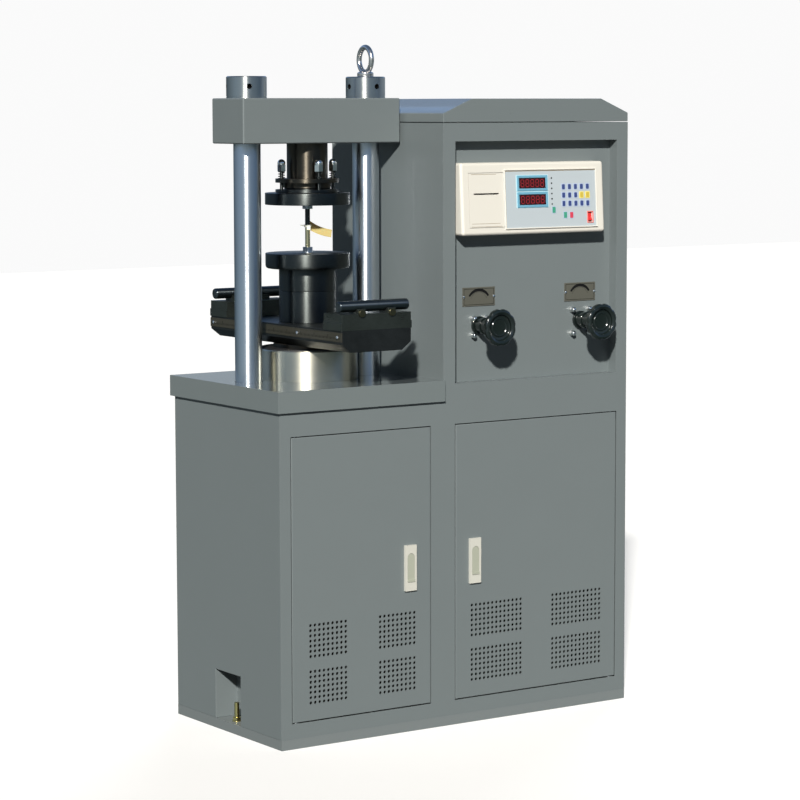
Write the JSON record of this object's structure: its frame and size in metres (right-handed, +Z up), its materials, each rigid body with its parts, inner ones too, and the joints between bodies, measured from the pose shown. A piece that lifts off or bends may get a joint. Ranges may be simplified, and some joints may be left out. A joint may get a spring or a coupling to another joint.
{
  "type": "compression testing machine",
  "caption": "Hydraulic compression testing machine: two-column load frame on a low cabinet, beside a tall control cabinet with printer, valves and doors",
  "frame": {"origin": "centre of the underside of the plinth, on the floor", "axes": "+X is the machine's right seen from the front, +Y is its back, +Z is up"},
  "size_m": [0.857, 0.511, 1.3688],
  "materials": {
    "cabinet_paint": "satin",
    "polished_steel": "polished",
    "bright_steel": "satin",
    "blackened_steel": "satin",
    "zinc_plate": "satin",
    "lock_chrome": "satin",
    "bronze_plate": "satin",
    "scale_metal": "satin",
    "cream_case": "satin",
    "grey_membrane": "matte",
    "red_switch": "glossy",
    "black_phenolic": "glossy",
    "machine_grey": "satin",
    "white_nylon": "matte",
    "yellow_strap": "matte"
  },
  "bodies": {
    "root": {"plinth": "cabinet_paint", "left_side_panel": "cabinet_paint", "right_side_panel": "cabinet_paint", "partition_panel": "cabinet_paint", "back_panel": "cabinet_paint", "front_frame": "cabinet_paint", "hinge_pins": "bright_steel", "table_top": "cabinet_paint", "roof_cover": "cabinet_paint", "instrument_panel": "cabinet_paint", "frame_legs": "cabinet_paint", "base_beam": "cabinet_paint", "columns": "polished_steel", "crosshead": "cabinet_paint", "column_nuts": "polished_steel", "lifting_eye": "polished_steel", "cylinder": "polished_steel", "ball_seat": "blackened_steel", "controller_case": "cream_case", "membrane_panel": "grey_membrane", "dial_plates": "bronze_plate", "valve_bodies": "black_phenolic", "valve_nuts": "zinc_plate", "oil_tank": "machine_grey", "motor": "machine_grey", "pump": "machine_grey", "oil_pipes": "zinc_plate", "anchor_bolts": "zinc_plate"},
    "left_door": {"left_door": "cabinet_paint", "left_lock_body": "lock_chrome"},
    "right_door": {"right_door": "cabinet_paint", "right_lock_body": "lock_chrome"},
    "left_lock_lever": {"left_lock_lever": "lock_chrome"},
    "right_lock_lever": {"right_lock_lever": "lock_chrome"},
    "left_lock_cam": {"left_lock_cam": "bright_steel"},
    "right_lock_cam": {"right_lock_cam": "bright_steel"},
    "ram": {"piston": "polished_steel", "bending_beam": "blackened_steel", "scale_strip": "scale_metal", "spacers": "blackened_steel", "lower_platen": "blackened_steel", "transit_stud": "zinc_plate", "cable_tie": "white_nylon", "tag_strap": "yellow_strap"},
    "front_cradle": {"front_cradle": "blackened_steel"},
    "rear_cradle": {"rear_cradle": "blackened_steel"},
    "front_roller": {"front_roller": "blackened_steel"},
    "rear_roller": {"rear_roller": "blackened_steel"},
    "seat_springs": {"seat_springs": "zinc_plate"},
    "upper_platen": {"upper_platen": "blackened_steel", "retaining_ring": "blackened_steel", "seat_studs": "zinc_plate", "transit_top_nut": "polished_steel"},
    "printer_cover": {"printer_cover": "cream_case"},
    "power_switch": {"power_switch": "red_switch"},
    "left_spindle": {"left_spindle": "bright_steel"},
    "right_spindle": {"right_spindle": "bright_steel"},
    "left_handwheel": {"left_handwheel": "black_phenolic"},
    "right_handwheel": {"right_handwheel": "black_phenolic"},
    "drive_coupling": {"drive_coupling": "bright_steel"}
  },
  "joints": [
    {"name": "ram_lift", "type": "slide", "parent": "root", "child": "ram", "axis": [0, 0, 1], "range_m": [0, 0.022]},
    {"name": "left_door_swing", "type": "hinge", "parent": "root", "child": "left_door", "pos_m": [-0.389, -0.196, 0.33], "axis": [0, 0, -1], "range_deg": [0, 110]},
    {"name": "right_door_swing", "type": "hinge", "parent": "root", "child": "right_door", "pos_m": [0.388, -0.196, 0.33], "axis": [0, 0, 1], "range_deg": [0, 110]},
    {"name": "left_lever_lift", "type": "hinge", "parent": "left_door", "child": "left_lock_lever", "pos_m": [-0.1235, -0.2061, 0.3528], "axis": [-1, 0, 0], "range_deg": [0, 35], "stiffness_Nm_per_rad": 0.05, "springref_deg": -20.05},
    {"name": "left_cam_turn", "type": "hinge", "parent": "left_door", "child": "left_lock_cam", "pos_m": [-0.1235, -0.19, 0.332], "axis": [0, -1, 0], "range_deg": [0, 90]},
    {"name": "right_lever_lift", "type": "hinge", "parent": "right_door", "child": "right_lock_lever", "pos_m": [0.0345, -0.2061, 0.3528], "axis": [-1, 0, 0], "range_deg": [0, 35], "stiffness_Nm_per_rad": 0.05, "springref_deg": -20.05},
    {"name": "right_cam_turn", "type": "hinge", "parent": "right_door", "child": "right_lock_cam", "pos_m": [0.0345, -0.19, 0.332], "axis": [0, 1, 0], "range_deg": [0, 90]},
    {"name": "front_cradle_slide", "type": "slide", "parent": "ram", "child": "front_cradle", "axis": [0, 1, 0], "range_m": [0, 0.1]},
    {"name": "front_roller_turn", "type": "hinge", "parent": "front_cradle", "child": "front_roller", "pos_m": [-0.231, -0.234, 0.8614], "axis": [1, 0, 0], "continuous": true},
    {"name": "rear_cradle_slide", "type": "slide", "parent": "ram", "child": "rear_cradle", "axis": [0, -1, 0], "range_m": [0, 0.1]},
    {"name": "rear_roller_turn", "type": "hinge", "parent": "rear_cradle", "child": "rear_roller", "pos_m": [-0.231, 0.234, 0.8614], "axis": [1, 0, 0], "continuous": true},
    {"name": "platen_tilt_x", "type": "hinge", "parent": "root", "child": "seat_springs", "pos_m": [-0.231, 0, 1.0503], "axis": [1, 0, 0], "range_deg": [-1.5, 1.5], "stiffness_Nm_per_rad": 60, "deforming": ["seat_springs"]},
    {"name": "platen_tilt_y", "type": "hinge", "parent": "seat_springs", "child": "upper_platen", "pos_m": [-0.231, 0, 1.0503], "axis": [0, 1, 0], "range_deg": [-1.5, 1.5], "stiffness_Nm_per_rad": 60, "deforming": ["seat_springs"]},
    {"name": "left_spindle_travel", "type": "slide", "parent": "root", "child": "left_spindle", "axis": [0, -1, 0], "range_m": [0, 0.0046]},
    {"name": "left_wheel_turn", "type": "hinge", "parent": "left_spindle", "child": "left_handwheel", "pos_m": [0.0625, 0, 0.8055], "axis": [0, -1, 0], "range_deg": [0, 1080]},
    {"name": "right_spindle_travel", "type": "slide", "parent": "root", "child": "right_spindle", "axis": [0, -1, 0], "range_m": [0, 0.0046]},
    {"name": "right_wheel_turn", "type": "hinge", "parent": "right_spindle", "child": "right_handwheel", "pos_m": [0.32, 0, 0.8055], "axis": [0, -1, 0], "range_deg": [0, 1080]},
    {"name": "printer_cover_open", "type": "hinge", "parent": "root", "child": "printer_cover", "pos_m": [0.058, -0.2144, 1.0055], "axis": [1, 0, 0], "range_deg": [0, 100]},
    {"name": "power_switch_rock", "type": "hinge", "parent": "root", "child": "power_switch", "pos_m": [0.3175, -0.21007, 1.019], "axis": [1, 0, 0], "range_deg": [0, 24]},
    {"name": "pump_drive_turn", "type": "hinge", "parent": "root", "child": "drive_coupling", "pos_m": [0.14, 0.012, 0.322], "axis": [1, 0, 0], "continuous": true}
  ],
  "couplings": [
    {"joint": "left_spindle_travel", "follows": "left_wheel_turn", "m_per_rad": 0.00023873},
    {"joint": "right_spindle_travel", "follows": "right_wheel_turn", "m_per_rad": 0.00023873}
  ]
}
